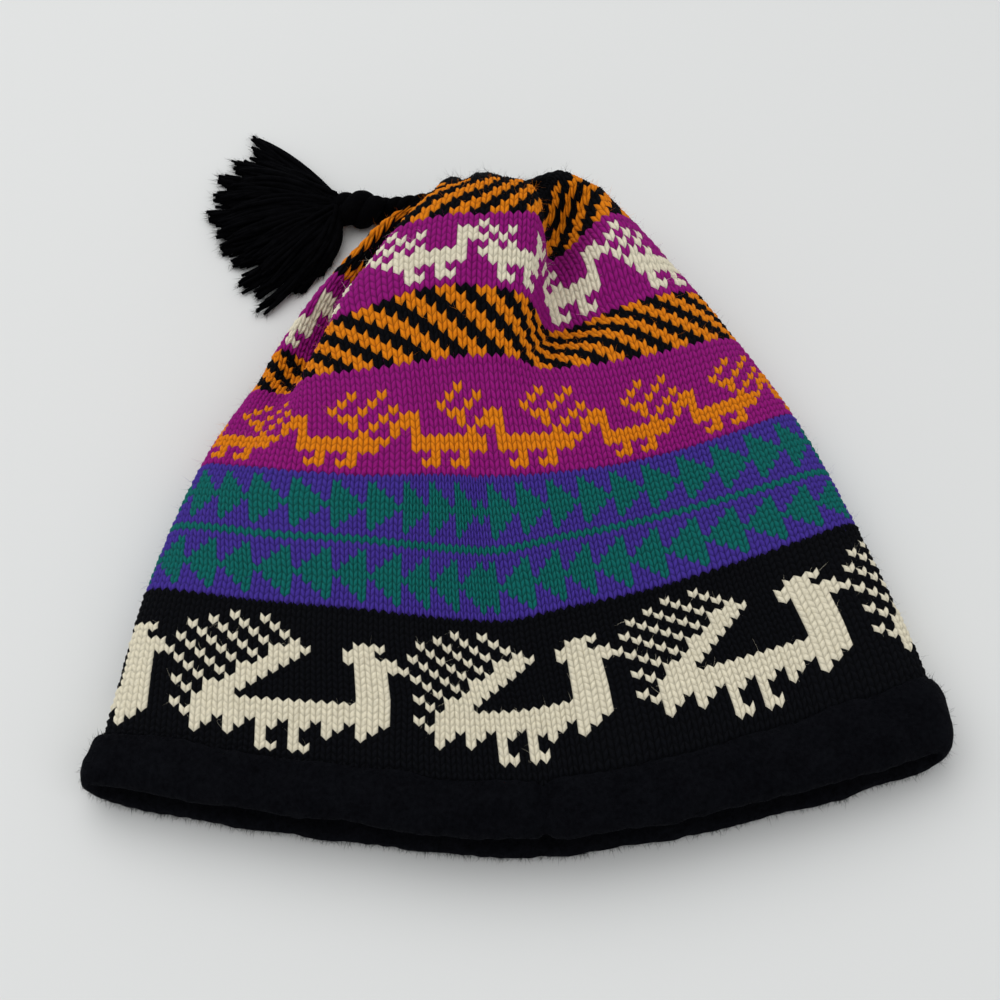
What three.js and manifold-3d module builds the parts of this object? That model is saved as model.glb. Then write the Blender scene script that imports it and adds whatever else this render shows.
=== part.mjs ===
// A knitted wool beanie with a rolled fleece edge and a yarn tassel, lying on its back half.
// Millimetres, +Z up. The mouth faces -Y, the gathered end points to +Y and the tassel lies at -X.
// The hat keeps the shape that it takes on a table: two deep folds run from the gathered end
// down its front, and the cloth that touches the table is flat.

import * as THREE from 'three';
import Module from 'manifold-3d';
import { mergeVertices } from 'three/addons/utils/BufferGeometryUtils.js';

const wasm = await Module();
wasm.setup();

// Driving dimensions
const KNIT_WALL = 2.6;            // stranded two-colour knitting
const FLEECE = 2.4;               // one layer of the fleece binding
const GAP = 0.3;                  // left between neighbouring pieces
const BINDING_GAP = 0.35;         // between the knit and the binding, both faceted
const MOUTH_ROW = -7;             // the knit's own edge, hidden in the binding
const GATHER_ROW = 91;            // the drawn-in end
const INNER_END_ROW = 77;         // the inner face closes here, where the gathered cloth is a plug
const COLUMNS = 76;               // steps round the hat
const OUTER_STEP = 3.5;           // knit rows in one step along the outer face
const INNER_STEP = 7;             // and along the inner face
const HOLLOW_END_HEIGHT = 8;      // where the inner face closes, above the table
const SIDE_RADIUS = 13;           // how far the rounded side fold reaches in under the hat
const FLAT_STEPS = 24;            // points along the part that lies on the table
const UNDER_SETBACK = 1.5;         // how far the lower layer's rows lie behind the upper's
const SETBACK_END_ROW = 70;
const ROW_BOW = 1.5;              // exponent of the bow that each knit row takes across the hat
const PLEATS = 14;                // gathers drawn in at the top
const PLEAT_DEPTH = 2.0;
const CORD_RADIUS = 3.4;
const CORD_LUMP = 0.4;            // how far the twisted strands stand out
const CORD_STRANDS = 3;
const CORD_TURNS = 4;
const CORD_SIDES = 12;
const CORD_STEPS = 20;
const KNOT_RADIUS = 6.3;
const KNOT_LENGTH = 12;
const KNOT_WRAPS = 3;             // turns of yarn round the knot
const KNOT_WRAP_HEIGHT = 0.4;
const KNOT_TAPER = 0.85;          // 1 would close the knot's ends to a point
const KNOT_STEPS = 12;
const KNOT_SIDES = 14;
const HEAD_RADIUS = 5.2;          // where the tassel's strands are bound together
const LOCK_ROOT = 2.8;            // half size of a lock of strands at the knot
const LOCK_WIDTH = 4.8;           // its half width and half height further out
const LOCK_THICKNESS = 1.5;
const LOCK_BULGE = 0.04;          // how far a lock's middle swings out, as a share of its length
const LOCK_RISE = 1.6;
const LOCK_TIP_HEIGHT = 1.0;
const LOCK_STEPS = 6;
const LOCK_SIDES = 6;
// Middle of the box round the lying hat, in the coordinates of the tables below
const LAYOUT_CENTRE = new THREE.Vector2(5.3, 17.3);

// Cross-sections of the knit, from the mouth (row -9) to the gather (row 91).
// y and x place the crest, left and right are the side folds, top is the crest's height,
// under the height of the cloth's lower face, fold the height of the side folds,
// lagLeft and lagRight say how far the row's ends lie behind its crest, and dome how the front
// is arched: 1 is half an ellipse, and less is flatter in the middle.
const SECTIONS = [
  // row    y      x    left   right  top  under fold  lagLeft lagRight dome
  [-9, -123.8, 8.0, -115.0, 126.0, 17.6, 2.7, 9.0, 19.0, 29.5, 0.45],
  [-7, -121.0, 8.0, -115.5, 126.0, 19.2, 2.7, 9.5, 19.0, 31.0, 0.45],
  [0, -110.0, 7.0, -112.5, 123.5, 23.0, 2.3, 10.5, 19.0, 37.0, 0.55],
  [6, -97.0, 5.5, -110.5, 120.0, 25.0, 0.0, 10.5, 20.5, 39.5, 0.65],
  [23, -60.4, 1.0, -104.5, 107.0, 30.0, 0.0, 10.0, 22.0, 45.5, 0.85],
  [42, -15.1, -3.0, -91.5, 91.0, 36.0, 0.0, 10.0, 22.5, 41.5, 1.0],
  [56, 26.9, -7.0, -77.5, 71.5, 42.5, 0.0, 10.0, 8.5, 33.5, 1.0],
  [64, 47.2, -7.4, -68.5, 59.5, 51.0, 0.0, 10.0, 6.5, 31.0, 1.0],
  [74, 70.8, -6.5, -50.5, 41.5, 56.0, 0.0, 10.0, 11.0, 31.0, 1.0],
  [82, 89.4, -5.0, -35.0, 32.0, 51.0, 0.0, 10.0, 12.0, 22.0, 1.0],
  [86, 104.0, -7.0, -25.0, 17.0, 37.0, 1.5, 12.0, 5.0, 8.0, 1.0],
  [89, 110.5, -9.0, -18.0, 2.0, 24.0, 6.0, 14.0, 2.0, 3.0, 1.0],
  [91, 112.0, -10.0, -15.0, -5.0, 19.0, 10.0, 14.5, 0.0, 0.0, 1.0],
];

// Folds pressed into the front. x is where the fold's floor crosses each row, depth how far the
// cloth is pushed in, left and right how wide the fold is on each side of its floor, lean how
// far the floor runs in under a neighbouring lobe, positive towards +X.
const FOLDS = [
  {
    name: 'left_valley',
    // row   x    depth left right lean
    line: [
      [36, -84, 0, 9, 9, 0],
      [44, -77, 2, 9, 8, 1],
      [50, -71, 5, 9, 7, 2],
      [56, -66, 11, 10, 6, 3],
      [60, -61, 16, 11, 5.5, 4],
      [64, -56, 21, 12, 5, 4.5],
      [68, -48, 25, 13, 5, 5],
      [74, -37, 28, 14, 5, 5],
      [78, -29, 24, 10, 4.5, 4],
      [83, -22, 12, 6, 4, 2],
      [88, -15, 0, 4, 4, 0],
    ],
  },
  {
    name: 'right_valley',
    line: [
      [46, 9, 0, 9, 9, 0],
      [52, 13, 3, 9, 11, -1],
      [56, 16, 8, 8, 13, -1.5],
      [60, 18, 14, 7, 14, -2.5],
      [67, 19.5, 21, 6, 13, -3.5],
      [74, 20, 25, 5.5, 12, -4],
      [78, 17, 22, 4.5, 9, -3],
      [83, 11, 13, 4, 6, -2],
      [88, -2, 0, 4, 4, 0],
    ],
  },
];

// Round dents in the front: the middle's row and x, how far they reach along the rows and in x,
// and their depth
const DENTS = [
  { name: 'right_hollow', row: 60.5, x: 30, rowReach: 4, xReach: 20, depth: 6 },
];

// Cubic interpolation through the rows of a table, whose first column is the knit row
function tableAt(table, row) {
  const last = table.length - 1;
  const clamped = Math.min(Math.max(row, table[0][0]), table[last][0]);
  let i = 0;
  while (i < last - 1 && table[i + 1][0] < clamped) i += 1;
  const [r0, r1] = [table[i][0], table[i + 1][0]];
  const t = (clamped - r0) / (r1 - r0);
  const slope = (k, column) => {
    const a = table[Math.max(k - 1, 0)];
    const b = table[Math.min(k + 1, last)];
    return (b[column] - a[column]) / (b[0] - a[0]);
  };
  return table[0].map((_, column) => {
    const [v0, v1] = [table[i][column], table[i + 1][column]];
    const [m0, m1] = [slope(i, column) * (r1 - r0), slope(i + 1, column) * (r1 - r0)];
    const t2 = t * t;
    const t3 = t2 * t;
    return (2 * t3 - 3 * t2 + 1) * v0 + (t3 - 2 * t2 + t) * m0
      + (3 * t2 - 2 * t3) * v1 + (t3 - t2) * m1;
  });
}

const tableCache = new Map();

function sectionAt(row) {
  if (!tableCache.has(row)) tableCache.set(row, makeSection(row));
  return tableCache.get(row);
}

function smooth(a, b, value) {
  const t = Math.min(Math.max((value - a) / (b - a), 0), 1);
  return t * t * (3 - 2 * t);
}

// The closed curve of the cloth's outer face at one knit row, as points with x and z and the bow
// of the row in y. It starts at the crest and runs over the right side fold, under the hat and up
// over the left side fold. Each side's stretch keeps its own length table, so that the side
// folds follow the same stitch column all the way up.
function makeSection(row) {
  const section = tableAt(SECTIONS, row);
  const [, y, crest, left, right, top, under, fold, lagLeft, lagRight, dome] = section;
  const folds = FOLDS.map((f) => tableAt(f.line, row)).filter((f) => f[2] > 0.05);
  const quarter = 56;
  const bend = 10;
  const reach = Math.min(SIDE_RADIUS, 0.45 * (right - left));
  const upper = (edge, count) => {
    const half = edge - crest;
    const points = [];
    for (let i = 0; i <= count; i += 1) {
      const angle = (Math.PI / 2) * (i / count);
      const arch = Math.max(Math.cos(angle), 0) ** dome;
      points.push({ x: crest + half * Math.sin(angle), z: fold + (top - fold) * arch });
    }
    return points;
  };
  const lower = (edge, inward) => {
    const points = [];
    for (let i = 1; i <= bend; i += 1) {
      const angle = (Math.PI / 2) * (i / bend);
      const x = edge + inward * reach * (1 - Math.cos(angle));
      points.push({ x, z: fold - (fold - under) * Math.sin(angle) });
    }
    return points;
  };
  const frontRight = upper(right, quarter);
  const frontLeft = upper(left, quarter).reverse();
  const flat = [];
  for (let i = 1; i < FLAT_STEPS; i += 1) {
    flat.push({ x: right - reach + (left - right + 2 * reach) * (i / FLAT_STEPS), z: under });
  }
  const underside = [
    frontRight[quarter],
    ...lower(right, -1),
    ...flat,
    ...lower(left, 1).reverse(),
    frontLeft[0],
  ];
  const setback = UNDER_SETBACK * (1 - smooth(SETBACK_END_ROW, GATHER_ROW, row));
  const stretches = [frontRight, underside, frontLeft];
  for (const stretch of stretches) {
    for (const p of stretch) {
      const half = p.x < crest ? crest - left : right - crest;
      const lag = p.x < crest ? lagLeft : lagRight;
      const across = Math.min(Math.abs((p.x - crest) / half), 1);
      p.y = y + lag * across ** ROW_BOW;
      if (stretch === underside) p.y += setback * (1 - across * across);
    }
  }
  for (const stretch of [frontRight, frontLeft]) pressFolds(stretch, row, crest, top, fold, folds);
  return stretches.map(withLengths);
}

// Push the front of a section in along each fold line
function pressFolds(stretch, row, crest, top, fold, folds) {
  const half = stretch.reduce((most, p) => Math.max(most, Math.abs(p.x - crest)), 0);
  for (const p of stretch) {
    const across = (p.x - crest) / half;
    const rise = Math.sqrt(Math.max(1 - across * across, 0));
    // Along the curve the fold's width is kept, so x distances grow where the dome is steep
    const steep = Math.hypot(rise, (across * (top - fold)) / half) / Math.max(rise, 0.35);
    let dx = 0;
    let dz = 0;
    for (const [, x, depth, widthLeft, widthRight, lean] of folds) {
      const away = ((p.x - x) * steep) / (p.x < x ? widthLeft : widthRight);
      const amount = Math.exp(-away * away);
      dx += lean * amount;
      dz -= depth * amount;
    }
    for (const dent of DENTS) {
      const away = (p.x - dent.x) / dent.xReach;
      const along = (row - dent.row) / dent.rowReach;
      dz -= dent.depth * Math.exp(-away * away - along * along);
    }
    p.dx = dx;
    p.dz = dz;
  }
  for (const p of stretch) {
    p.x += p.dx;
    p.z += p.dz;
  }
}

function withLengths(points) {
  const lengths = [0];
  for (let i = 1; i < points.length; i += 1) {
    const step = Math.hypot(points[i].x - points[i - 1].x, points[i].z - points[i - 1].z);
    lengths.push(lengths[i - 1] + step);
  }
  return { points, lengths };
}

// A point of the knit's outer face, share running from 0 at the crest round the hat to 1
function facePoint(row, share) {
  const stretches = sectionAt(row);
  const turn = ((share % 1) + 1) % 1;
  const [stretch, t] = turn < 0.25 ? [stretches[0], turn * 4]
    : turn < 0.75 ? [stretches[1], (turn - 0.25) * 2]
      : [stretches[2], (turn - 0.75) * 4];
  const { points, lengths } = stretch;
  const wanted = t * lengths[lengths.length - 1];
  let i = 1;
  while (i < lengths.length - 1 && lengths[i] < wanted) i += 1;
  const mix = (wanted - lengths[i - 1]) / Math.max(lengths[i] - lengths[i - 1], 1e-9);
  const at = (key) => points[i - 1][key] + (points[i][key] - points[i - 1][key]) * mix;
  return new THREE.Vector3(at('x'), at('y'), at('z'));
}

function faceNormal(row, share) {
  const across = facePoint(row, share + 0.004).sub(facePoint(row, share - 0.004));
  const along = facePoint(row + 0.6, share).sub(facePoint(row - 0.6, share));
  return across.cross(along).normalize();
}

// The knit's outer face, or a face at some height above it (below it, if negative)
function knitPoint(row, share, height = 0) {
  const pleats = smooth(76, 87, row) * (1 - 0.5 * smooth(88, GATHER_ROW, row));
  const ripple = PLEAT_DEPTH * pleats * Math.cos(2 * Math.PI * PLEATS * share);
  const lift = height + (height < 0 ? 0 : ripple - PLEAT_DEPTH * pleats);
  const p = facePoint(row, share).addScaledVector(faceNormal(row, share), lift);
  p.z = Math.max(p.z, height < 0 ? 0.5 : 0);
  return p;
}

// One closed body from rings of equal count. A ring that is a single point closes an end.
// A loop of rings closes on itself, and its faces are turned round when it runs the other way.
function bodyFromRings(rings, { loop = false, turned = false } = {}) {
  const vertices = [];
  const starts = rings.map((ring) => {
    const start = vertices.length;
    vertices.push(...ring);
    return start;
  });
  const index = [];
  const pairs = loop ? rings.length : rings.length - 1;
  for (let r = 0; r < pairs; r += 1) {
    const a = rings[r];
    const b = rings[(r + 1) % rings.length];
    const [sa, sb] = [starts[r], starts[(r + 1) % rings.length]];
    const count = Math.max(a.length, b.length);
    for (let k = 0; k < count; k += 1) {
      const next = (k + 1) % count;
      if (a.length === 1) index.push(sa, sb + next, sb + k);
      else if (b.length === 1) index.push(sa + k, sa + next, sb);
      else {
        index.push(sa + k, sa + next, sb + next);
        index.push(sa + k, sb + next, sb + k);
      }
    }
  }
  const geometry = new THREE.BufferGeometry();
  const positions = vertices.flatMap((p) => [p.x, p.y, p.z]);
  geometry.setAttribute('position', new THREE.Float32BufferAttribute(positions, 3));
  geometry.setIndex(turned ? index.reverse() : index);
  return geometry;
}

function ringOfShares(row, height) {
  const ring = [];
  for (let k = 0; k < COLUMNS; k += 1) ring.push(knitPoint(row, k / COLUMNS, height));
  return ring;
}

function middleOf(ring) {
  const sum = ring.reduce((total, p) => total.add(p), new THREE.Vector3());
  return sum.divideScalar(ring.length);
}

function knitCrown() {
  const innerRows = [MOUTH_ROW, MOUTH_ROW + OUTER_STEP];
  for (let row = MOUTH_ROW + INNER_STEP; row <= INNER_END_ROW; row += INNER_STEP) {
    innerRows.push(row);
  }
  const inner = innerRows.reverse().map((row) => ringOfShares(row, -KNIT_WALL));
  const outer = [];
  for (let row = MOUTH_ROW; row <= GATHER_ROW; row += OUTER_STEP) outer.push(ringOfShares(row, 0));
  const hollowEnd = middleOf(inner[0]).setZ(HOLLOW_END_HEIGHT);
  const gatherEnd = middleOf(outer[outer.length - 1]);
  return bodyFromRings([[hollowEnd], ...inner, ...outer, [gatherEnd]]);
}

// The binding's cross-section: how far along the rows, and how high above the knit's outer face
function bindingProfile() {
  const inside = -KNIT_WALL;
  const edge = MOUTH_ROW - 0.2;
  return [
    [0.0, BINDING_GAP],
    [0.5, BINDING_GAP + 0.5 * FLEECE],
    [-0.5, BINDING_GAP + FLEECE],
    [-3.5, BINDING_GAP + 1.15 * FLEECE],
    [-6.5, BINDING_GAP + 0.95 * FLEECE],
    [-8.4, 0],
    [-8.9, 0.6 * inside],
    [-8.2, inside - BINDING_GAP - 0.5 * FLEECE],
    [-6.5, inside - BINDING_GAP - FLEECE],
    [-0.8, inside - BINDING_GAP - FLEECE],
    [0.2, inside - BINDING_GAP - 0.5 * FLEECE],
    [0.0, inside - BINDING_GAP],
    [-3.5, inside - BINDING_GAP],
    [edge, inside - BINDING_GAP],
    [edge, BINDING_GAP],
    [-3.5, BINDING_GAP],
  ];
}

function fleeceBrim() {
  const rings = bindingProfile().map(([row, height]) => {
    const ring = [];
    for (let k = 0; k < COLUMNS; k += 1) {
      const share = k / COLUMNS;
      const p = facePoint(row, share).addScaledVector(faceNormal(row, share), height);
      p.z = Math.max(p.z, 0);
      ring.push(p);
    }
    return ring;
  });
  return bodyFromRings(rings, { loop: true, turned: true });
}

// The cord's way from the gathered end to the knot, chosen by hand: it leaves the gather
// backwards, comes down on the table behind the hat and runs to -X.
const CORD_ROUTE = [
  [-9.8, 113.4, 14.4],
  [-10.5, 116.0, 12.8],
  [-16.5, 119.3, 7.6],
  [-25.0, 119.6, 4.4],
  [-35.0, 118.2, 4.0],
  [-44.6, 116.8, 4.6],
].map((p) => new THREE.Vector3(...p));
const KNOT_CENTRE = new THREE.Vector3(-51.0, 115.9, 6.1);

// Locks of the tassel: direction of each tip seen from the knot, in degrees from +X towards +Y,
// length, and height of the lock above the table in the middle of its length
const LOCKS = [
  // angle length height
  [124, 49, 2.0],
  [133, 50, 5.0],
  [143, 47, 2.0],
  [152, 46, 6.6],
  [162, 44, 2.0],
  [171, 43, 8.0],
  [181, 42, 2.0],
  [190, 41, 8.6],
  [200, 41, 2.0],
  [209, 41, 8.2],
  [219, 43, 2.0],
  [228, 44, 6.8],
  [238, 45, 2.0],
  [247, 43, 4.6],
  [257, 35, 2.0],
  [266, 27, 3.0],
];

// Rings round a curve. size gives the half height and half width of the body at a share of its
// length, and lump what is added at an angle round it.
function sweptBody(curve, steps, sides, size, lump = () => 0) {
  const rings = [[curve.getPointAt(0)]];
  for (let i = 0; i <= steps; i += 1) {
    const share = i / steps;
    const centre = curve.getPointAt(share);
    const along = curve.getTangentAt(share);
    const side = new THREE.Vector3(0, 0, 1).cross(along).normalize();
    const up = along.clone().cross(side);
    const [tall, wide] = size(share);
    const ring = [];
    for (let k = 0; k < sides; k += 1) {
      const angle = (2 * Math.PI * k) / sides;
      const more = lump(share, angle);
      const p = centre.clone()
        .addScaledVector(side, (wide + more) * Math.cos(angle))
        .addScaledVector(up, (tall + more) * Math.sin(angle));
      p.z = Math.max(p.z, 0);
      ring.push(p);
    }
    rings.push(ring);
  }
  rings.push([curve.getPointAt(1)]);
  return bodyFromRings(rings);
}

function tasselCord() {
  const curve = new THREE.CatmullRomCurve3(CORD_ROUTE, false, 'centripetal');
  const twisted = (share, angle) => {
    const turn = 2 * Math.PI * CORD_TURNS * share;
    return CORD_LUMP * Math.cos(CORD_STRANDS * angle - turn);
  };
  return sweptBody(curve, CORD_STEPS, CORD_SIDES, () => [CORD_RADIUS, CORD_RADIUS], twisted);
}

// A ball of wound yarn, its wraps lying askew round the cord's direction
function tasselKnot() {
  const half = KNOT_LENGTH / 2;
  const start = KNOT_CENTRE.clone().setX(KNOT_CENTRE.x + half);
  const end = KNOT_CENTRE.clone().setX(KNOT_CENTRE.x - half);
  const round = (share) => {
    const along = 2 * share - 1;
    const radius = KNOT_RADIUS * Math.sqrt(1 - KNOT_TAPER * along ** 4);
    return [radius, radius];
  };
  const wraps = (share, angle) => (
    KNOT_WRAP_HEIGHT * (Math.cos(2 * Math.PI * KNOT_WRAPS * share + angle) - 1)
  );
  return sweptBody(new THREE.LineCurve3(start, end), KNOT_STEPS, KNOT_SIDES, round, wraps);
}

// One lock, thick at the knot, widest past the middle and ending in a point on the table
function lockBody([angle, length, height]) {
  const root = KNOT_CENTRE.clone().setX(KNOT_CENTRE.x - KNOT_LENGTH / 2 - GAP - LOCK_ROOT);
  const direction = THREE.MathUtils.degToRad(angle);
  const out = new THREE.Vector3(Math.cos(direction), Math.sin(direction), 0);
  const middle = root.clone().addScaledVector(out, 0.5 * length).setZ(height + LOCK_RISE);
  middle.x -= LOCK_BULGE * length;
  const tip = root.clone().addScaledVector(out, length).setZ(LOCK_TIP_HEIGHT);
  const curve = new THREE.QuadraticBezierCurve3(root, middle, tip);
  return sweptBody(curve, LOCK_STEPS, LOCK_SIDES, (share) => {
    const end = Math.max(1 - share ** 9, 0.25);
    const tall = (LOCK_ROOT * (1 - share) + LOCK_THICKNESS * share) * end;
    const wide = (0.8 * LOCK_ROOT * (1 - share) + LOCK_WIDTH * share) * end;
    return [tall, wide];
  });
}

function toManifold(geometry) {
  const bare = mergeVertices(geometry);
  return new wasm.Manifold(new wasm.Mesh({
    numProp: 3,
    vertProperties: bare.getAttribute('position').array,
    triVerts: Uint32Array.from(bare.getIndex().array),
  }));
}

// All the locks fused to one head against the knot
function tassel() {
  const headGeometry = new THREE.SphereGeometry(HEAD_RADIUS, 12, 8);
  headGeometry.deleteAttribute('normal');
  headGeometry.deleteAttribute('uv');
  const headX = KNOT_CENTRE.x - KNOT_LENGTH / 2 - GAP - HEAD_RADIUS;
  headGeometry.translate(headX, KNOT_CENTRE.y, HEAD_RADIUS);
  const fused = LOCKS.reduce(
    (body, lock) => body.add(toManifold(lockBody(lock))),
    toManifold(headGeometry),
  );
  const mesh = fused.getMesh();
  const geometry = new THREE.BufferGeometry();
  geometry.setAttribute('position', new THREE.Float32BufferAttribute(mesh.vertProperties, 3));
  geometry.setIndex(Array.from(mesh.triVerts));
  return geometry;
}

const group = new THREE.Group();
function addPiece(name, geometry, colour, roughness) {
  const material = new THREE.MeshStandardMaterial({ color: colour, roughness, metalness: 0 });
  const mesh = new THREE.Mesh(geometry, material);
  mesh.name = name;
  mesh.position.set(-LAYOUT_CENTRE.x, -LAYOUT_CENTRE.y, 0);
  group.add(mesh);
}

addPiece('knit_crown', knitCrown(), 0x8c2380, 0.95);
addPiece('fleece_brim', fleeceBrim(), 0x15161d, 0.98);
addPiece('tassel_cord', tasselCord(), 0x14141a, 0.95);
addPiece('tassel_knot', tasselKnot(), 0x14141a, 0.95);
addPiece('tassel', tassel(), 0x121218, 0.95);
export default group;
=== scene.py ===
# %% [markdown]
# # A knitted beanie with a rolled fleece edge and a tassel
# The real hat is a tube of stranded knitting, drawn together at the top and lying on its back
# half, so that its front sinks into two deep folds. This lesson dresses the plain solids of that
# hat: every stitch becomes a small V of yarn, and the fleece and the tassel get their fibres.
# We start by loading the solids.

# %% Load the solids
import math

import bpy
import numpy as np
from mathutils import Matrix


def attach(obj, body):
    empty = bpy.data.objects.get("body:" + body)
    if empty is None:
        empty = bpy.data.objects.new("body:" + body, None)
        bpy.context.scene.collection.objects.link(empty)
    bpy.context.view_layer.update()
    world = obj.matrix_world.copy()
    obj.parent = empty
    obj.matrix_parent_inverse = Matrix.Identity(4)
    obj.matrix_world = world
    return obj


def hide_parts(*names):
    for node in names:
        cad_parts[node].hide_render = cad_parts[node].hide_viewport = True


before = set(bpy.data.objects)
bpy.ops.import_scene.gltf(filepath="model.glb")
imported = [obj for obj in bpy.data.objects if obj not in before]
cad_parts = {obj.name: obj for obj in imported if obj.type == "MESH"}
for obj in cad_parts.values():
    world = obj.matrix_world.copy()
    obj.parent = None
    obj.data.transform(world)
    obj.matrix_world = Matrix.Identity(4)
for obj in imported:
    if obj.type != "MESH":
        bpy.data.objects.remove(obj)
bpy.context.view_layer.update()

MM = 0.001

# %% [markdown]
# ## Camera and stage
# The photo was taken from about 56 degrees above the table and 65 cm away. The camera could be
# matched by hand, but a point to look at, an angle and a distance are easier to check. A 75 mm
# lens keeps the hat from bulging. Dyed wool is strongly coloured, so we show colours as they are
# instead of through Blender's filmic view, which would pale them.

# %% Camera
LOOK_AT = np.array([-5.3, -17.3, 0.0]) * MM
ELEVATION = math.radians(56)
DISTANCE = 0.65
SENSOR_WIDTH = 36
# half of the picture's width over the distance to it, both in pixels
HALF_FIELD = 500 / 2080

camera_data = bpy.data.cameras.new("photo_camera")
camera = bpy.data.objects.new("photo_camera", camera_data)
bpy.context.collection.objects.link(camera)
camera_data.sensor_width = SENSOR_WIDTH
camera_data.lens = SENSOR_WIDTH / 2 / HALF_FIELD
camera_data.clip_start = 0.01
back_up = np.array([0.0, -math.cos(ELEVATION), math.sin(ELEVATION)])
camera.location = LOOK_AT + DISTANCE * back_up
camera.rotation_euler = (math.pi / 2 - ELEVATION, 0, 0)
bpy.context.scene.camera = camera
bpy.context.scene.view_settings.view_transform = "Standard"
print("lens", round(camera_data.lens, 1), "mm, at", tuple(round(v, 3) for v in camera.location))

# %% [markdown]
# ## Shader maths
# A material is a tree of small nodes. Wiring dozens of Math nodes by hand is slow to read, so one
# small class wraps a socket and lets us write sums: each operator adds its Math node.

# %% Sums with sockets
class Wire:
    """One output of a node that can be used in sums."""

    def __init__(self, tree, socket):
        self.tree = tree
        self.socket = socket

    def maths(self, operation, *values):
        node = self.tree.nodes.new("ShaderNodeMath")
        node.operation = operation
        for slot, value in zip(node.inputs, values):
            plug(self.tree, slot, value)
        return Wire(self.tree, node.outputs[0])

    def __add__(self, other):
        return self.maths("ADD", self, other)

    def __sub__(self, other):
        return self.maths("SUBTRACT", self, other)

    def __rsub__(self, other):
        return self.maths("SUBTRACT", other, self)

    def __mul__(self, other):
        return self.maths("MULTIPLY", self, other)

    def __truediv__(self, other):
        return self.maths("DIVIDE", self, other)

    def __rtruediv__(self, other):
        return self.maths("DIVIDE", other, self)

    __radd__ = __add__
    __rmul__ = __mul__

    def above(self, level, softness):
        """0 below the level and 1 above it, with a soft step between."""
        return ((self - (level - softness)) / (2 * softness)).clip()

    def clip(self):
        return self.maths("MINIMUM", self.maths("MAXIMUM", self, 0.0), 1.0)


def plug(tree, slot, value):
    if isinstance(value, Wire):
        tree.links.new(value.socket, slot)
    else:
        slot.default_value = value


print("reflected operators:", [name for name in vars(Wire) if name.startswith("__r")])

# %% [markdown]
# A finish is one Principled shader with something fed into a few of its sockets. One method adds
# any node, and four short ones stand for those that we use again and again. What is the same all
# over is set on the shader's own socket, because an exporter may drop it behind a link.

# %% A material under construction
class Finish:
    """A material under construction, with its main shader at hand."""

    def __init__(self, name, **constants):
        self.material = bpy.data.materials.new(name)
        self.material.use_nodes = True
        self.tree = self.material.node_tree
        self.shader = self.tree.nodes["Principled BSDF"]
        for socket, value in constants.items():
            self.shader.inputs[socket.replace("_", " ")].default_value = value

    def add(self, kind, settings=None, inputs=None, output=0):
        node = self.tree.nodes.new(kind)
        for key, value in (settings or {}).items():
            setattr(node, key, value)
        for key, value in (inputs or {}).items():
            plug(self.tree, node.inputs[key], value)
        return Wire(self.tree, node.outputs[output])

    def noise(self, place, scale, detail=2.0):
        inputs = {"Vector": place, "Scale": scale, "Detail": detail}
        return self.add("ShaderNodeTexNoise", inputs=inputs)

    def mix(self, share, first, second):
        settings = {"data_type": "RGBA"}
        return self.add("ShaderNodeMix", settings, {0: share, 6: first, 7: second}, output=2)

    def stretch(self, place, factors):
        settings = {"operation": "MULTIPLY"}
        return self.add("ShaderNodeVectorMath", settings, {0: place, 1: factors})

    def bump(self, height, strength, distance):
        inputs = {"Height": height, "Strength": strength, "Distance": distance}
        return self.add("ShaderNodeBump", inputs=inputs)

    def feed(self, socket, value):
        plug(self.tree, self.shader.inputs[socket], value)


def rgb(red, green, blue):
    """A colour as it looks on a screen, 0 to 255, turned into the linear one that shaders use."""
    return tuple(((c / 255 + 0.055) / 1.055) ** 2.4 if c > 10 else c / 255 / 12.92
                 for c in (red, green, blue)) + (1.0,)


print("middle grey in linear light:", rgb(128, 128, 128))

# %% [markdown]
# ## Yarns
# Wool yarn is matt, but its loose fibres catch light at a grazing angle, which is what Sheen is
# for. Its colour is never quite even, because dyed fibres were carded together. We mix a lighter
# and a darker version of each colour with fine noise, and let fibres run along each stitch's leg
# by stretching another noise across the knit's own map of columns and rows.

# %% Yarn materials
YARN_COLOURS = {
    "black": rgb(5, 6, 10),
    "cream": rgb(229, 221, 197),
    "purple": rgb(66, 46, 146),
    "teal": rgb(0, 101, 96),
    "magenta": rgb(146, 13, 119),
    "orange": rgb(226, 129, 6),
}


def scaled(colour, factor):
    return tuple(min(1.0, c * factor) for c in colour[:3]) + (1.0,)


def knit_yarn(name, colour):
    dark = name == "black"
    finish = Finish(f"yarn_{name}", Roughness=0.9, Sheen_Weight=0.03 if dark else 0.08,
                    Sheen_Roughness=0.5, Specular_IOR_Level=0.08 if dark else 0.2,
                    Sheen_Tint=scaled(colour, 1.3))
    stitch = finish.add("ShaderNodeUVMap", {"uv_map": "OFBake"})
    # painted shade: a value from the stitch mesh darkens the yarn's colour in the grooves between
    # legs
    painted_groove_shade = finish.add("ShaderNodeAttribute", {"attribute_name": "painted_groove_shade"}, output=2)
    space = finish.add("ShaderNodeTexCoord", output=3)
    heather = finish.noise(space, 900.0, 3.0)
    plies = finish.noise(finish.stretch(stitch, (1900.0, 260.0, 1.0)), 1.0, 2.0)
    tone = (heather * 0.65 + plies * 0.35).above(0.5, 0.22)
    low, high = (0.6, 1.6) if dark else (0.78, 1.12)
    even = finish.mix(tone, scaled(colour, low), scaled(colour, high))
    # painted shade in the grooves between legs; light from the legs on both sides reaches into
    # cream's grooves, so cream gets less of it
    shade = 0.5 if name == "cream" else 0.85
    finish.feed("Base Color", finish.mix(painted_groove_shade * shade, even, scaled(colour, 0.3)))
    finish.feed("Normal", finish.bump(heather + plies, 0.35, 0.0003))
    return finish.material


YARNS = {name: knit_yarn(name, colour) for name, colour in YARN_COLOURS.items()}
YARN_LIST = list(YARNS.values())
print("yarns:", list(YARNS))

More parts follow.
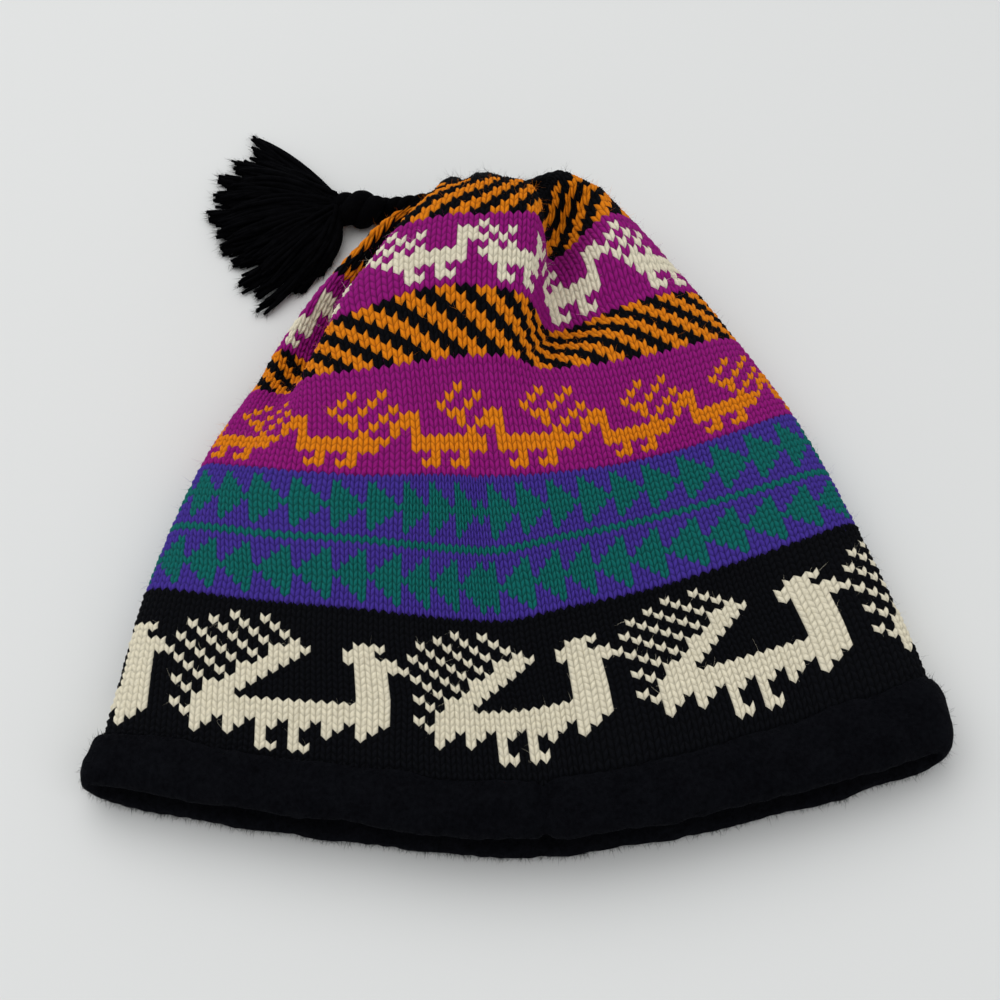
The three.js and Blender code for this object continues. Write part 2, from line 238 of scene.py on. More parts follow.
# %% [markdown]
# ## The cloth's shape
# The hat's form is a table of cross-sections, one for each of a few knit rows, with two folds
# pressed into its front. The same tables shaped the solid, apart from the left edge of the top
# rows, which lies up to 4.5 mm further in here. A mesh that was sculpted by hand would look as
# good but couldn't say where stitch 17 of row 40 lies, and this can.

# %% The table of cross-sections
STITCHES = 152
# the middle of the hat's box in the tables' millimetres
CENTRE = np.array([5.3, 17.3, 0.0])
KNIT_WALL = 2.6
# the radius of the turn at each side, in mm
SIDE_RADIUS = 13
FLAT_STEPS = 24
# the back's rows lie a little further up than the front's, and all of them bow
UNDER_SETBACK = 1.5
ROW_BOW = 1.5
PLEATS = 14
PLEAT_DEPTH = 2.0
FIRST_ROW, LAST_ROW = -9, 91

# row, y, x, left, right, top, under, fold, lag left, lag right, dome
SECTIONS = np.array([
    [-9, -123.8, 8, -115, 126, 17.6, 2.7, 9, 19, 29.5, 0.45],
    [-7, -121, 8, -115.5, 126, 19.2, 2.7, 9.5, 19, 31, 0.45],
    [0, -110, 7, -112.5, 123.5, 23, 2.3, 10.5, 19, 37, 0.55],
    [6, -97, 5.5, -110.5, 120, 25, 0, 10.5, 20.5, 39.5, 0.65],
    [23, -60.4, 1, -104.5, 107, 30, 0, 10, 22, 45.5, 0.85],
    [42, -15.1, -3, -91.5, 91, 36, 0, 10, 22.5, 41.5, 1],
    [56, 26.9, -7, -77.5, 71.5, 42.5, 0, 10, 8.5, 33.5, 1],
    [64, 47.2, -7.4, -68.5, 59.5, 51, 0, 10, 6.5, 31, 1],
    [74, 70.8, -6.5, -49.5, 41.5, 56, 0, 10, 11, 31, 1],
    [82, 89.4, -5, -31.5, 32, 51, 0, 10, 12, 22, 1],
    [86, 104, -7, -20.5, 17, 37, 1.5, 12, 5, 8, 1],
    [89, 110.5, -9, -15.5, 2, 24, 6, 14, 2, 3, 1],
    [91, 112, -10, -15, -5, 19, 10, 14.5, 0, 0, 1],
])
print(len(SECTIONS), "sections from row", FIRST_ROW, "to", LAST_ROW)

# %% The tables of the folds
# row, x of the fold's floor, depth, width to its left, to its right, lean
LEFT_VALLEY = np.array([
    [36, -84, 0, 9, 9, 0], [44, -77, 2, 9, 8, 1], [50, -71, 5, 9, 7, 2], [56, -66, 11, 10, 6, 3],
    [60, -61, 16, 11, 5.5, 4], [64, -56, 21, 12, 5, 4.5], [68, -48, 25, 13, 5, 5],
    [74, -37, 28, 14, 5, 5], [78, -29, 24, 10, 4.5, 4], [83, -22, 12, 6, 4, 2],
    [88, -15, 0, 4, 4, 0],
], dtype=float)
RIGHT_VALLEY = np.array([
    [46, 9, 0, 9, 9, 0], [52, 13, 3, 9, 11, -1], [56, 16, 8, 8, 13, -1.5],
    [60, 18, 14, 7, 14, -2.5], [67, 19.5, 21, 6, 13, -3.5], [74, 20, 25, 5.5, 12, -4],
    [78, 17, 22, 4.5, 9, -3], [83, 11, 13, 4, 6, -2], [88, -2, 0, 4, 4, 0],
], dtype=float)
# the dent under the right fold: row, x, reach in rows, reach in x, depth
RIGHT_HOLLOW = (60.5, 31, 4.5, 19, 5.5)
print("deepest folds:", LEFT_VALLEY[:, 2].max(), "and", RIGHT_VALLEY[:, 2].max(), "mm")

# %% [markdown]
# Between the rows of a table we want a curve without corners. A spline object could give it, but
# a cubic that keeps each row's slope is four lines, and we can ask it for any row.

# %% Reading the tables
def table_at(table, row):
    """A smooth curve through the rows of a table, whose first column is the knit row."""
    last = len(table) - 1
    row = min(max(row, table[0, 0]), table[last, 0])
    i = int(np.clip(np.searchsorted(table[:, 0], row) - 1, 0, last - 1))
    span = table[i + 1, 0] - table[i, 0]
    t = (row - table[i, 0]) / span

    def slope(k):
        a, b = table[max(k - 1, 0)], table[min(k + 1, last)]
        return (b - a) / (b[0] - a[0]) * span

    return ((2 * t**3 - 3 * t**2 + 1) * table[i] + (t**3 - 2 * t**2 + t) * slope(i)
            + (3 * t**2 - 2 * t**3) * table[i + 1] + (t**3 - t**2) * slope(i + 1))


def smooth(a, b, value):
    """0 up to a, 1 from b on, and a soft rise between them."""
    t = np.clip((value - a) / (b - a), 0, 1)
    return t * t * (3 - 2 * t)


def unit(vectors):
    return vectors / np.maximum(np.linalg.norm(vectors, axis=-1, keepdims=True), 1e-12)


print("row 50:", np.round(table_at(SECTIONS, 50), 1))

# %% [markdown]
# A fold is pressed into the front as a smooth trough that also leans sideways. On the hat's
# steep flanks a trough would smear, so its width there is measured along the surface.

# %% The folds
def press_folds(points, row, crest, top, fold):
    half = max(np.abs(points[:, 0] - crest).max(), 1e-6)
    across = (points[:, 0] - crest) / half
    rise = np.sqrt(np.maximum(1 - across**2, 0))
    # length along the surface for each unit across, which is large on the flanks
    steep = np.hypot(rise, across * (top - fold) / half) / np.maximum(rise, 0.35)
    dx, dz = np.zeros(len(points)), np.zeros(len(points))
    for valley in (LEFT_VALLEY, RIGHT_VALLEY):
        _, x, depth, left, right, lean = table_at(valley, row)
        if depth <= 0.05:
            continue
        away = (points[:, 0] - x) * steep / np.where(points[:, 0] < x, left, right)
        amount = np.exp(-away**2)
        dx += lean * amount
        dz -= depth * amount
    mid_row, mid_x, row_reach, x_reach, depth = RIGHT_HOLLOW
    away, along = (points[:, 0] - mid_x) / x_reach, (row - mid_row) / row_reach
    dz -= depth * np.exp(-away**2 - along**2)
    points[:, 0] += dx
    points[:, 2] += dz


print("left fold at row 70:", np.round(table_at(LEFT_VALLEY, 70), 1))

# %% [markdown]
# Each cross-section is three stretches: the front's right half, the underside, and the front's
# left half. Points are shared out along each stretch by length, because a knitted tube has
# equally wide stitches all the way round.

# %% One row of the cloth
def cloth_row(row, shares):
    """Points of the outer face at one knit row. Share 0 is the crest, 0.5 the back's middle."""
    _, y, crest, left, right, top, under, fold, lag_left, lag_right, dome = table_at(SECTIONS, row)
    reach = min(SIDE_RADIUS, 0.45 * (right - left))
    quarter = np.linspace(0, math.pi / 2, 57)
    bend = np.linspace(0, math.pi / 2, 11)[1:]

    def upper(edge):
        arch = np.maximum(np.cos(quarter), 0) ** dome
        return np.stack([crest + (edge - crest) * np.sin(quarter), 0 * quarter,
                         fold + (top - fold) * arch], axis=1)

    def lower(edge, inward):
        return np.stack([edge + inward * reach * (1 - np.cos(bend)), 0 * bend,
                         fold - (fold - under) * np.sin(bend)], axis=1)

    flat_x = right - reach + (left - right + 2 * reach) * np.arange(1, FLAT_STEPS) / FLAT_STEPS
    flat = np.stack([flat_x, 0 * flat_x, 0 * flat_x + under], axis=1)
    front_right, front_left = upper(right), upper(left)[::-1].copy()
    below = np.concatenate([front_right[-1:], lower(right, -1), flat, lower(left, 1)[::-1],
                            front_left[:1]])
    setback = UNDER_SETBACK * (1 - smooth(70, LAST_ROW, row))
    for stretch in (front_right, below, front_left):
        on_left = stretch[:, 0] < crest
        half = np.where(on_left, crest - left, right - crest)
        lag = np.where(on_left, lag_left, lag_right)
        across = np.minimum(np.abs((stretch[:, 0] - crest) / half), 1)
        stretch[:, 1] = y + lag * across**ROW_BOW
        if stretch is below:
            stretch[:, 1] += setback * (1 - across**2)
    press_folds(front_right, row, crest, top, fold)
    press_folds(front_left, row, crest, top, fold)
    below[0], below[-1] = front_right[-1], front_left[0]

    result = np.empty((len(shares), 3))
    for stretch, start, end in ((front_right, 0, 0.25), (below, 0.25, 0.75), (front_left, 0.75, 1)):
        steps = np.hypot(np.diff(stretch[:, 0]), np.diff(stretch[:, 2]))
        lengths = np.concatenate([[0], np.cumsum(steps)])
        inside = (shares >= start) & (shares < end)
        wanted = (shares[inside] - start) / (end - start) * lengths[-1]
        for axis in range(3):
            result[inside, axis] = np.interp(wanted, lengths, stretch[:, axis])
    return result


print("crest of row 50:", np.round(cloth_row(50, np.zeros(1))[0], 1))

# %% [markdown]
# Working out a cross-section is slow for hundreds of thousands of points, so we do it once on a
# fine grid of rows and columns and read between its points after that.

# %% The whole cloth on a grid
ROW_FINE, STITCH_FINE = 4, 4
GRID_ROWS = np.arange(FIRST_ROW, LAST_ROW + 1e-6, 1 / ROW_FINE)
GRID_SHARES = np.arange(STITCHES * STITCH_FINE) / (STITCHES * STITCH_FINE)
FACE = np.stack([cloth_row(row, GRID_SHARES) for row in GRID_ROWS])


def grid_normals(face):
    around = np.roll(face, -2, axis=1) - np.roll(face, 2, axis=1)
    padded = np.concatenate([face[:1]] * 2 + [face] + [face[-1:]] * 2)
    along = padded[4:] - padded[:-4]
    return unit(np.cross(around, along))


OUTWARD = grid_normals(FACE)


def read_grid(grid, row, column):
    """The grid's value at any row and any stitch column, both of them arrays."""
    r = np.clip((row - FIRST_ROW) * ROW_FINE, 0, len(GRID_ROWS) - 1.001)
    c = np.asarray(column) * STITCH_FINE
    r0, c0 = np.floor(r).astype(int), np.floor(c).astype(int)
    fr, fc = (r - r0)[..., None], (c - c0)[..., None]
    wide = grid.shape[1]
    ca, cb = c0 % wide, (c0 + 1) % wide
    return ((1 - fr) * ((1 - fc) * grid[r0, ca] + fc * grid[r0, cb])
            + fr * ((1 - fc) * grid[r0 + 1, ca] + fc * grid[r0 + 1, cb]))


print("grid of", FACE.shape[:2], "points")

# %% [markdown]
# A soft hat isn't stretched evenly. Its rows sag towards the edge inside the folds and climb at
# the middle. We could bend the face itself, but then its outline would change with the pattern.
# A small table of how many rows each spot has slipped moves only the pattern over the face.

# %% Rows that slip
HALF_ROUND = STITCHES // 2
SLIP_PLACES = [-37, -31, -24, -14, -7, 0, 6, 14, 22, 30, 37]
# row, then the slip in rows at each of those places, where more is towards the top
ROW_SLIPS = np.array([
    [-1, 0, 0, 0, 0, 0, 0, 0, 0, 0, 0, 0],
    [3, -2, -1.9, -0.9, 0.3, 0.3, 1.4, 2.1, 1.9, 1.6, 1.4, 0.5],
    [10, -2, -1.8, -1.3, 0, 0.2, 1, 1.6, 1.8, 1.2, 0.5, 0],
    [17, -1.6, -1.5, -1.5, -0.6, -0.2, 0, 1, 0.9, 0, -0.3, -0.2],
    [23, -1, -1.5, -1.4, -0.6, -0.6, -0.6, 0.2, -0.5, -0.8, -1.2, -1],
    [32, -1.5, -1.8, -1.8, -0.5, -0.6, -0.5, 0.4, -0.3, -1.1, -2, -2.2],
    [42, -1.4, -2.1, -2.4, -1.7, -0.4, 0, -0.7, -1.8, -2.4, -2.1, -1],
    [56, -2.2, -2.4, -3, -2.5, -1.6, -0.6, -1.1, -4, -4.4, -4, -3.5],
    [64, -3.5, -4.1, -4, -3.2, -1.2, -0.5, -2.4, -3.3, -5, -5, -4],
    [74, -3.5, -3.8, -3.5, -2.5, -1.6, -0.3, -1.8, -2, -2.8, -3.2, -3],
    [86, 0, 0, 0, 0, 0, 0, 0, 0, 0, 0, 0],
])


def running_mean(grid, axis, reach, mode):
    padding = [(0, 0), (0, 0)]
    padding[axis] = (reach, reach)
    total = np.cumsum(np.pad(grid, padding, mode=mode), axis=axis)
    place = np.arange(grid.shape[axis])
    return (total.take(place + 2 * reach, axis) - total.take(place, axis)) / (2 * reach)


def slip_grid():
    """The table of row slips at every point of the face's grid, with its corners rounded."""
    places = np.arange(STITCHES * STITCH_FINE) / STITCH_FINE
    places = np.where(places >= HALF_ROUND, places - STITCHES, places)
    back = ROW_SLIPS[:, [1, -1]].mean(axis=1)
    knots = [-HALF_ROUND] + SLIP_PLACES + [HALF_ROUND]
    lines = np.array([np.interp(places, knots, [far, *row[1:], far])
                      for row, far in zip(ROW_SLIPS, back)])
    grid = np.array([np.interp(GRID_ROWS, ROW_SLIPS[:, 0], line) for line in lines.T]).T
    for axis, reach, mode in ((0, 2 * ROW_FINE, "edge"), (1, 2 * STITCH_FINE, "wrap")):
        grid = running_mean(running_mean(grid, axis, reach, mode), axis, reach, mode)
    return grid[..., None]


ROW_SLIP = slip_grid()
print("rows slip by", np.round([ROW_SLIP.min(), ROW_SLIP.max()], 1))

# %% [markdown]
# The columns crowd towards the seam, and the purple band, worked in a thinner yarn, has more of
# them. So for each band a few rows say where some of its columns lie on the face's even grid,
# and the rest are read between those.

# %% Columns that crowd
# each band: its columns round the hat, some of them counted from the seam, and their places
COLUMN_MAPS = {
    "bird": (152, [-38, -30, -20, -12, -5, 3, 9, 16, 24, 31, 38], [
        [3, -34, -26.1, -16.5, -8.5, -2, 5.2, 12.1, 19, 26.2, 34.6, 42],
        [10, -34.5, -26.5, -16.5, -8.1, -2, 5.3, 12, 18.6, 26.1, 34.5, 42],
        [19, -35, -26.8, -16.7, -8.7, -2.8, 5.4, 11.3, 17.7, 25.4, 34, 41],
    ]),
    "triangle": (168, [-44, -36, -28, -20, -12, -4, 2, 6, 14, 22, 30, 38, 44], [
        [27, -40.5, -33, -25.2, -17, -10, -4.2, -0.2, 3.4, 9.4, 16.5, 24.8, 33, 38.5],
        [38, -42.5, -35.2, -27.8, -18.2, -10, -4.2, -0.5, 2.6, 9.2, 16.2, 24, 32.3, 38],
    ]),
    "upper": (152, [-30, -18.5, -7.5, 1.5, 12.5, 23.5, 32], [
        [47, -36.5, -22.8, -8.5, 1.8, 13.5, 23.8, 33],
        [56, -37, -24, -9, 1.8, 13.5, 25, 35.5],
        [69, -38, -26, -9.2, 2, 14, 26.5, 37],
        [80, -38, -26, -9.5, 2, 15, 28.5, 37.5],
        [88, -30, -18.5, -7.5, 1.5, 12.5, 23.5, 32],
    ]),
}


def column_place(band, row, column):
    """Turns a band's column, counted from the seam, into a place on the face's grid."""
    count, columns, rows = COLUMN_MAPS[band]
    half = count // 2
    column = (np.asarray(column) + half) % count - half
    knots = [-half, *columns, half]
    tables = [np.interp(column, knots, [-HALF_ROUND, *line[1:], HALF_ROUND]) for line in rows]
    heights = [line[0] for line in rows]
    place = tables[0]
    for below, above, low, high in zip(tables, tables[1:], heights, heights[1:]):
        share = np.clip((row - low) / (high - low), 0, 1)
        place = np.where(row > low, below + (above - below) * share, place)
    return place % STITCHES


print("purple column 6 of row 38 lies at", round(float(column_place("triangle", 38, 6)), 2))

# %% [markdown]
# Every stitch and fibre is placed by its row, its column and its height over the face. One
# function does that for places on the face, and one for spots of the pattern.

# %% Points over the face
def face_point(row, place, height, floor=0.0):
    """A point at some height over the face, in metres in the hat's own frame."""
    # the pleats deepen from row 76 on and are half pulled flat again by the drawn-in end
    pleats = smooth(76, 87, row) * (1 - 0.5 * smooth(88, LAST_ROW, row))
    ripple = PLEAT_DEPTH * pleats * (np.cos(2 * math.pi * PLEATS * place / STITCHES) - 1)
    normal = unit(read_grid(OUTWARD, row, place))
    point = read_grid(FACE, row, place) + normal * (height + ripple)[..., None]
    point[..., 2] = np.maximum(point[..., 2], floor)
    return (point - CENTRE) * MM


def knit_point(band, row, column, height):
    """The same for a spot of the pattern, which lies where the cloth has slipped to."""
    place = column_place(band, row, column)
    return face_point(row + read_grid(ROW_SLIP, row, place)[..., 0], place, height)


seam = knit_point("upper", np.full(1, 50.0), np.zeros(1), np.zeros(1))
print("seam at row 50:", np.round(seam, 4))

# %% [markdown]
# ## The pattern
# Knitters chart a pattern as filled squares, one for each stitch. Each band repeats a small
# figure round the hat: striding birds in cream and orange, rows of triangles, and diagonal
# stripes. All bands break at the front's middle, where the rounds begin and end, so the two
# halves of the front are counted from there. Column s is negative to its left.

# %% An empty chart and its columns
BLACK, CREAM, PURPLE, TEAL, MAGENTA, ORANGE = range(6)
TRIANGLE_STITCHES = COLUMN_MAPS["triangle"][0]
chart = np.zeros((LAST_ROW - FIRST_ROW + 1, TRIANGLE_STITCHES), dtype=int)
SIDES = range(-HALF_ROUND, HALF_ROUND)
BANDS = [(23, 42, PURPLE), (42, 56, MAGENTA), (64, 74, MAGENTA)]
for low, high, colour in BANDS:
    chart[low - FIRST_ROW:high - FIRST_ROW] = colour


def knit(row, column, colour):
    """Charts one stitch. A negative column counts back from the end of its round."""
    chart[row - FIRST_ROW, column % STITCHES] = colour


def stamp(cells, first, left_neck, right_neck, lowest, colour):
    """Repeats a figure of (column, row) cells to both sides of the seam."""
    repeat, offset = first
    for s in SIDES:
        neck = left_neck if s < 0 else right_neck
        column = (s - neck - offset) % repeat + offset
        for cell_column, up in cells:
            if (cell_column - offset) % repeat + offset == column:
                knit(lowest + up, s, colour)


print("chart of", chart.shape, "rows and columns")

# %% [markdown]
# The large bird has a fanned tail of single cream stitches, a body with a ragged lower edge and
# two long legs. It is charted as runs of stitches in each column, counted down from the top.

# %% The large cream bird
LARGE_RUNS = {
    -3: [(12, 16)], -2: [(10, 15)], -1: [(10, 14)], 0: [(9, 16)], 1: [(7, 10), (12, 15)],
    2: [(7, 9), (12, 14)], 3: [(6, 8), (12, 18)], 4: [(4, 7), (12, 15), (18, 18)],
    5: [(4, 6), (12, 14)], 6: [(3, 5), (12, 18)], 7: [(4, 4), (12, 15), (18, 18)], 8: [(12, 14)],
    9: [(12, 16)], 10: [(12, 15)], 11: [(4, 5), (12, 14)], 12: [(3, 16)], 13: [(3, 15)],
    14: [(3, 3), (5, 14)], 15: [(5, 6)], 16: [(6, 6)],
}
# diagonals of the fanned tail: first column, first row, number of stitches
TAIL_LINES = [(0, 0, 4), (3, 0, 3), (-2, 1, 5), (-4, 2, 5), (-5, 4, 5), (-5, 7, 3), (-5, 10, 2),
              (-5, 13, 2)]
LARGE_TOP = 20

large = [(c, LARGE_TOP - r) for c, runs in LARGE_RUNS.items()
         for a, b in runs for r in range(a, b + 1)]
large += [(c + i, LARGE_TOP - r - i) for c, r, n in TAIL_LINES for i in range(n)]
stamp(large, (22, -5), -8, -9, 0, CREAM)
print("stitches in one large bird:", len(large))

# %% [markdown]
# The purple band has two rows of triangles with a thin line between them, and the triangles of
# one row point the other way. They are so regular that a rule is shorter than a drawing: each
# column of a triangle is two stitches shorter than the one before.

# %% Triangles
for s in range(-TRIANGLE_STITCHES // 2, TRIANGLE_STITCHES // 2):
    phase = (s if s < 0 else s + 2) % 4
    for down in range(19):
        pointing_right = 1 <= down <= 7 and abs(down - 4) <= 3 - phase
        pointing_left = 11 <= down <= 17 and abs(down - 14) <= phase
        if pointing_right or pointing_left or down == 9:
            chart[41 - down - FIRST_ROW, s % TRIANGLE_STITCHES] = TEAL
print("teal stitches:", int((chart == TEAL).sum()))

# %% [markdown]
# The small birds share one way of standing: a neck, a body of two rows, two legs with feet and a
# tail. The orange ones look left and the cream ones look right, so one function draws both and
# mirrors the second, and only their tails are charted one by one.

# %% Small birds
def small_bird(way, length, tail):
    """A bird with a body of some length behind its neck. way is 1 if it looks left, else -1."""
    cells = [(0, r) for r in range(2, 7)] + [(-1, 6), (-1, 5), (-2, 5)]
    cells += [(c, 3) for c in range(1, length + 1)] + [(c, 2) for c in range(1, length)]
    cells += [(2, 1), (5, 1), (1, 0), (2, 0), (4, 0), (5, 0)]
    return [(way * c, r) for c, r in cells + tail]


orange_bird = small_bird(1, 8, [(4, 6), (5, 6), (5, 5), (6, 4), (9, 4), (3, 7), (4, 8), (5, 9),
                                (6, 7), (7, 8), (8, 9), (7, 5), (8, 6), (9, 7)])
cream_bird = small_bird(-1, 7, [(7, 7), (8, 6), (6, 6), (4, 6), (7, 5), (5, 5), (8, 4), (6, 4),
                                (4, 4)])
stamp(orange_bird, (11, -2), -8, 1, 43, ORANGE)
stamp(cream_bird, (11, -8), -2, 7, 65, CREAM)
print("stitches in the small birds:", len(orange_bird), len(cream_bird))

# %% [markdown]
# The stripes are two stitches of each yarn and shift by one stitch in each row. Those over the
# folds lean the other way from those at the top. The remainder of a division charts them.

# %% Stripes
for s in SIDES:
    for down in range(8):
        if (s - down) % 4 < 2:
            knit(63 - down, s, ORANGE)
        if (s + down) % 4 < 2:
            knit(81 - down, s, ORANGE)
print("stitches of each yarn:", np.bincount(chart.ravel(), minlength=6))

# %% [markdown]
# ## Helpers for meshes
# All meshes here are grids or bundles of thin strips. Each helper takes whole arrays, because
# adding vertices one at a time would take minutes. Every piece rides on the hat's one body and
# stands for one of its solids.


def new_object(name, vertices, faces, materials):
    mesh = bpy.data.meshes.new(name)
    mesh.from_pydata(vertices, [], faces)
    for material in materials:
        mesh.materials.append(material)
    made = bpy.data.objects.new(name, mesh)
    bpy.context.collection.objects.link(made)
    return made


def add_piece(name, node, vertices, faces, materials, uvs, slots=None, painted_groove_shade=None):
    piece = new_object(name, vertices, faces, materials)
    mesh = piece.data
    if slots is not None:
        mesh.polygons.foreach_set("material_index", np.asarray(slots, dtype=np.int32))
    mesh.shade_smooth()
    # painted shade of the grooves between stitch legs, stored per point for the yarn materials
    if painted_groove_shade is not None:
        mesh.attributes.new("painted_groove_shade", "FLOAT", "POINT").data.foreach_set("value", painted_groove_shade)
    layer = mesh.uv_layers.new(name="OFBake")
    corners = np.empty(len(mesh.loops), dtype=np.int32)
    mesh.loops.foreach_get("vertex_index", corners)
    layer.data.foreach_set("uv", np.asarray(uvs, dtype=np.float32)[corners].ravel())
    mesh.update()
    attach(piece, "root")
    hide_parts(node)
    print(name, sum(len(p.vertices) - 2 for p in mesh.polygons), "triangles")


def grid_faces(rows, columns):
    """Quads of a grid of points, counted row by row, facing out where columns run to the right."""
    r, c = np.meshgrid(np.arange(rows - 1), np.arange(columns - 1), indexing="ij")
    a = (r * columns + c).ravel()
    return np.stack([a, a + 1, a + columns + 1, a + columns], axis=1)


def map_places(rows, columns):
    """Each grid point's place on the piece's flat map: columns to the right and rows up."""
    place = np.meshgrid(rows, columns, indexing="ij")
    return np.stack(place[::-1], axis=-1).reshape(-1, 2)


print("a grid of 3 x 4 points has", len(grid_faces(3, 4)), "faces")

# %% [markdown]
# ## Stitches
# A plain knit stitch shows as a V: two legs of yarn that meet at the bottom. Real relief reads
# better than a bump here, because the light is soft and the stitches are nearly 3 mm wide. The
# grid's lines are bent into Vs, so each face belongs to one leg of one stitch and can take that
# stitch's colour, with the same stepped edges as in wool. The front gets eight faces across a
# stitch and four up it. The back, which lies on the table, gets a quarter of that.

# %% The relief of one stitch
LEG_SLANT = 0.62
RELIEF = 0.95
BURIED = 0.45
FINE_ACROSS = [0, 0.09, 0.25, 0.41, 0.5, 0.59, 0.75, 0.91]
FINE_UP = [0, 0.16, 0.5, 0.84]
COARSE_ACROSS = [0, 0.25, 0.5, 0.75]
COARSE_UP = [0, 0.5]


def stitch_height(across, up):
    """0 in the grooves between legs and near 1 on top of a leg, which dips at both its ends."""
    leg = np.abs(((across * 2) % 1) * 2 - 1)
    rounded = np.sqrt(np.maximum(1 - leg**2, 0))
    tucked = 1 - np.abs(up * 2 - 1) ** 2.2
    return rounded * (0.22 + 0.78 * tucked)


print("up the middle of a leg:", np.round(stitch_height(0.25, np.array(FINE_UP)), 2))

# %% [markdown]
# A patch is a span of rows and columns in one grid. Each stitch is a little firmer or slacker than
# the next, as in handwork. Where the form is low, the yarn lies in a groove, and shade is painted
# into its colour there, which a soft light alone doesn't show. The rounds meet in a slight crease
# at the seam.

# %% Stitches on the cloth
# the stitch form at which the painted shade of a groove fades out
LIT_FROM = 0.62
SEAM_CREASE, CREASE_WIDTH = 0.6, 0.8
TUCK, TUCK_ROWS = 1.2, 0.6
unevenness = np.random.default_rng(11)
FIRMNESS = unevenness.normal(1.0, 0.10, (LAST_ROW - FIRST_ROW + 2, TRIANGLE_STITCHES + 1))


def stitch_patch(band, columns, rows, across_steps, up_steps):
    """Vertices, faces, map places, yarns and painted groove shade of a span of columns and rows."""
    across = np.concatenate([np.add.outer(columns, across_steps).ravel(), [columns[-1] + 1]])
    up = np.concatenate([[rows[0] - TUCK_ROWS], np.add.outer(rows, up_steps).ravel(),
                         [rows[-1] + 1]])
    row, column = np.meshgrid(up, across, indexing="ij")
    whole_row = np.maximum(np.floor(row).astype(int), rows[0]) - FIRST_ROW
    whole_column = np.floor(column).astype(int) % COLUMN_MAPS[band][0]
    # stitches shrink where the cloth is gathered
    squeeze = 1 - 0.6 * smooth(80, 90, row)
    slant = LEG_SLANT * squeeze * (np.abs((column % 1) * 2 - 1) - 0.5)
    form = stitch_height(column % 1, row % 1)
    height = RELIEF * squeeze * FIRMNESS[whole_row, whole_column] * form - BURIED
    height -= SEAM_CREASE * np.exp(-(column / CREASE_WIDTH) ** 2) * smooth(20, 30, row)
    # the first line is tucked under the band below, and closes the gaps between the two
    height[0] = -TUCK
    points = knit_point(band, row + slant, column, height)
    places = np.stack([(column - columns[0]) / len(columns), (row - rows[0]) / len(rows)], axis=-1)
    yarns = chart[whole_row[:-1, :-1], whole_column[:-1, :-1]].ravel()
    # painted shade: 1 where the form is lowest, falling to 0 where it reaches LIT_FROM
    painted_groove_shade = np.clip(1 - form / LIT_FROM, 0, 1).ravel()
    return points.reshape(-1, 3), grid_faces(*row.shape), places.reshape(-1, 2), yarns, painted_groove_shade


print("firmness varies by", round(float(FIRMNESS.std()), 3))

# %% [markdown]
# The bands are separate pieces, because their columns don't all line up, and each is tucked under
# the last. A band is two patches side by side, a fine one for the front and a coarse one for the
# back, in one mesh whose faces each have the material of their stitch's yarn.

# %% The knitted bands
# name, column map, first row, row after the last, fine columns to each side of the seam
KNIT_BANDS = (
    ("knit_bird_band", "bird", -1, 23, 43),
    ("knit_triangle_band", "triangle", 23, 42, 47),
    ("knit_lower_bands", "upper", 42, 64, 38),
    ("knit_upper_bands", "upper", 64, 91, 38),
)

for name, band, first, last, reach in KNIT_BANDS:
    rows, count = np.arange(first, last), COLUMN_MAPS[band][0]
    front = stitch_patch(band, np.arange(-reach, reach), rows, FINE_ACROSS, FINE_UP)
    back = stitch_patch(band, np.arange(reach, count - reach), rows, COARSE_ACROSS, COARSE_UP)
    front_share = 2 * reach / count
    front[2][:, 0] *= front_share
    back[2][:, 0] = front_share + (1 - front_share) * back[2][:, 0]
    back = (back[0], back[1] + len(front[0]), *back[2:])
    # each point's painted groove shade goes with the band's mesh
    points, faces, places, yarns, painted_groove_shade = (np.concatenate(both) for both in zip(front, back))
    add_piece(name, "knit_crown", points, faces, YARN_LIST, places, yarns,
              painted_groove_shade.astype(np.float32))

# %% [markdown]
# ## The inside and the gathered end
# Through the mouth one sees the wrong side of the knitting: purl bumps and loose floats of the
# yarn that rests. It is deep in shade, so its colours come from a noise along the rows, and its
# bumps from a wave.

# %% The inside
ROUND = np.linspace(0, STITCHES, STITCHES + 1)
INNER_ROWS = np.arange(-7.0, 78)
INNER_FLOOR = 0.5

inner = Finish("wrong_side_wool", Roughness=0.95, Specular_IOR_Level=0.15)
place = inner.add("ShaderNodeUVMap", {"uv_map": "OFBake"})
floats = inner.noise(inner.stretch(place, (120.0, 98.0, 1.0)), 1.0, 1.0).above(0.58, 0.06)
inner.feed("Base Color", inner.mix(floats, scaled(YARN_COLOURS["black"], 1.2),
                                   scaled(YARN_COLOURS["cream"], 0.5)))
bars = inner.add("ShaderNodeTexWave", {"bands_direction": "Y"},
                 {"Vector": inner.stretch(place, (1.0, 26.0, 1.0)), "Scale": 1.0}, output=1)
inner.feed("Normal", inner.bump(bars, 0.6, 0.0008))

row, column = np.meshgrid(INNER_ROWS, ROUND, indexing="ij")
points = face_point(row, column, np.full(row.shape, -KNIT_WALL), INNER_FLOOR).reshape(-1, 3)
# a last point closes the far end
last_ring = range(len(points) - len(ROUND), len(points) - 1)
end = points[last_ring].mean(axis=0)
end[2] = 8 * MM
faces = grid_faces(*row.shape)[:, ::-1].tolist() + [(a + 1, a, len(points)) for a in last_ring]
places = map_places((INNER_ROWS - INNER_ROWS[0]) / (len(INNER_ROWS) + 1), ROUND / STITCHES)
add_piece("knit_inside", "knit_crown", np.concatenate([points, [end]]), faces, [inner.material],
          np.concatenate([places, [(0.5, 1.0)]]))

# %% [markdown]
# A yarn drawn through the last round pulls the tube shut. A puckered disc shows that: rings of
# points that shrink towards the middle and rise and fall with the pleats.

# %% The drawn-in end
END_RINGS = (0.0, 0.35, 0.7, 0.97)
END_PUCKER = 0.0012

